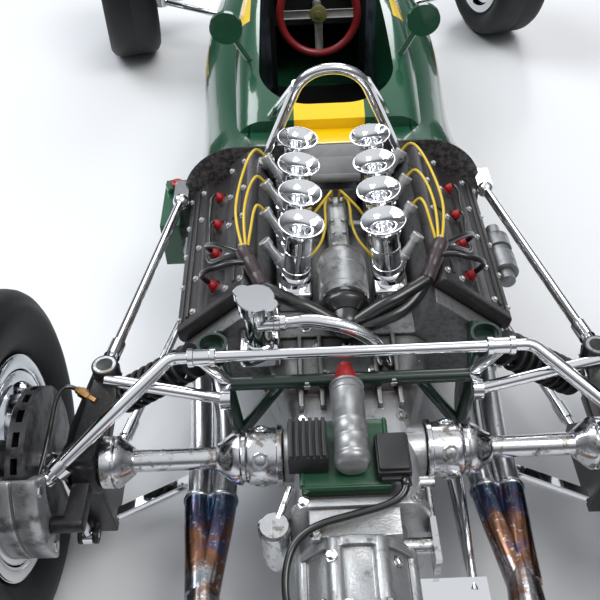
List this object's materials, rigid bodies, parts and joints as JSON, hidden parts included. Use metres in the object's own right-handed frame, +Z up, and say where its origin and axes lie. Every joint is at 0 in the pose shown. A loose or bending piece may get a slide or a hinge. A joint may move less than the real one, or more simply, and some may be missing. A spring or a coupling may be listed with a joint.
{
  "type": "scale model of a formula one car",
  "caption": "Scale model of a cigar-bodied open-wheel racing car with an exposed engine, tubular rear suspension, steered front wheels and bare wide tyres",
  "frame": {"origin": "on the ground under the middle of the model's length and width", "axes": "+X to the driver's right, +Y forward along the car, +Z up"},
  "size_m": [0.156, 0.3346, 0.0614],
  "materials": {
    "body_green": "high gloss paint",
    "chrome_plate": "plated plastic",
    "tyre_rubber": "soft vinyl, satin",
    "silver_paint": "silver painted plastic",
    "black_plastic": "satin black",
    "dark_metal": "dark grey paint",
    "frame_green": "gloss dark green tube",
    "cast_black": "satin black casting",
    "disc_steel": "turned steel",
    "clear_screen": "clear moulding",
    "wheel_red": "dark red rim",
    "seat_black": "matt black",
    "cap_red": "red boots",
    "line_yellow": "yellow tube"
  },
  "bodies": {
    "chassis": {"anti_roll_bar": "chrome_plate", "cam_covers": "dark_metal", "catch_tank": "body_green", "cockpit_surround": "body_green", "coolant_pump": "silver_paint", "dash_panel": "black_plastic", "distributor": "black_plastic", "electrics_tray": "frame_green", "engine_block": "silver_paint", "exhaust_hanger": "chrome_plate", "exhaust_left": "chrome_plate", "exhaust_right": "chrome_plate", "filler_hose": "chrome_plate", "front_links_left": "chrome_plate", "front_links_right": "chrome_plate", "fuel_lines": "line_yellow", "fuel_metering_unit": "silver_paint", "gearbox": "silver_paint", "ignition_boxes": "black_plastic", "ignition_coil": "silver_paint", "ignition_hoses": "black_plastic", "inlet_trumpets": "chrome_plate", "mirrors": "body_green", "nose_cone": "body_green", "oil_canister": "silver_paint", "oil_filler": "silver_paint", "plug_caps": "cap_red", "radiator": "black_plastic", "rear_calipers": "silver_paint", "rear_frame": "frame_green", "rear_links_left": "chrome_plate", "rear_links_right": "chrome_plate", "rear_uprights": "cast_black", "roll_hoop": "chrome_plate", "seat": "seat_black", "selector": "silver_paint", "spring_dampers": "black_plastic", "steering_rack": "silver_paint", "tub": "body_green", "windscreen": "clear_screen"},
    "rear_wheel_left": {"rear_tyre_left": "tyre_rubber", "rear_rim_left": "chrome_plate", "rear_disc_left": "disc_steel", "driveshaft_left": "chrome_plate"},
    "knuckle_left": {"front_knuckle_left": "cast_black", "front_caliper_left": "silver_paint"},
    "front_wheel_left": {"front_tyre_left": "tyre_rubber", "front_rim_left": "chrome_plate", "front_disc_left": "disc_steel"},
    "rear_wheel_right": {"rear_tyre_right": "tyre_rubber", "rear_rim_right": "chrome_plate", "rear_disc_right": "disc_steel", "driveshaft_right": "chrome_plate"},
    "knuckle_right": {"front_knuckle_right": "cast_black", "front_caliper_right": "silver_paint"},
    "front_wheel_right": {"front_tyre_right": "tyre_rubber", "front_rim_right": "chrome_plate", "front_disc_right": "disc_steel"},
    "rack_bar": {"track_rods": "chrome_plate"},
    "steering_column": {"steering_wheel": "wheel_red"}
  },
  "joints": [
    {"name": "rear_left_spin", "type": "hinge", "parent": "chassis", "child": "rear_wheel_left", "pos_m": [-0.0645, -0.10475, 0.0284], "axis": [-1, 0, 0], "continuous": true},
    {"name": "rear_right_spin", "type": "hinge", "parent": "chassis", "child": "rear_wheel_right", "pos_m": [0.0645, -0.10475, 0.0284], "axis": [-1, 0, 0], "continuous": true},
    {"name": "steer_left", "type": "hinge", "parent": "chassis", "child": "knuckle_left", "pos_m": [-0.052, 0.09625, 0.0254], "axis": [0, 0, 1], "range_deg": [-33, 7]},
    {"name": "front_left_spin", "type": "hinge", "parent": "knuckle_left", "child": "front_wheel_left", "pos_m": [-0.0632, 0.09366, 0.0254], "axis": [-0.9744, -0.225, 0], "continuous": true},
    {"name": "steer_right", "type": "hinge", "parent": "chassis", "child": "knuckle_right", "pos_m": [0.052, 0.09625, 0.0254], "axis": [0, 0, 1], "range_deg": [-33, 7]},
    {"name": "front_right_spin", "type": "hinge", "parent": "knuckle_right", "child": "front_wheel_right", "pos_m": [0.0632, 0.09884, 0.0254], "axis": [-0.9744, -0.225, 0], "continuous": true},
    {"name": "rack_travel", "type": "slide", "parent": "chassis", "child": "rack_bar", "axis": [1, 0, 0], "range_m": [-0.00109, 0.00511]},
    {"name": "steering_wheel_turn", "type": "hinge", "parent": "chassis", "child": "steering_column", "pos_m": [0, 0.02775, 0.04], "axis": [0, -0.9763, 0.2164], "range_deg": [-148.6, 31.6]}
  ],
  "couplings": [
    {"joint": "steer_right", "follows": "steer_left", "ratio": 1},
    {"joint": "rack_travel", "follows": "steer_left", "m_per_rad": -0.00885},
    {"joint": "steering_wheel_turn", "follows": "steer_left", "ratio": 4.5}
  ]
}
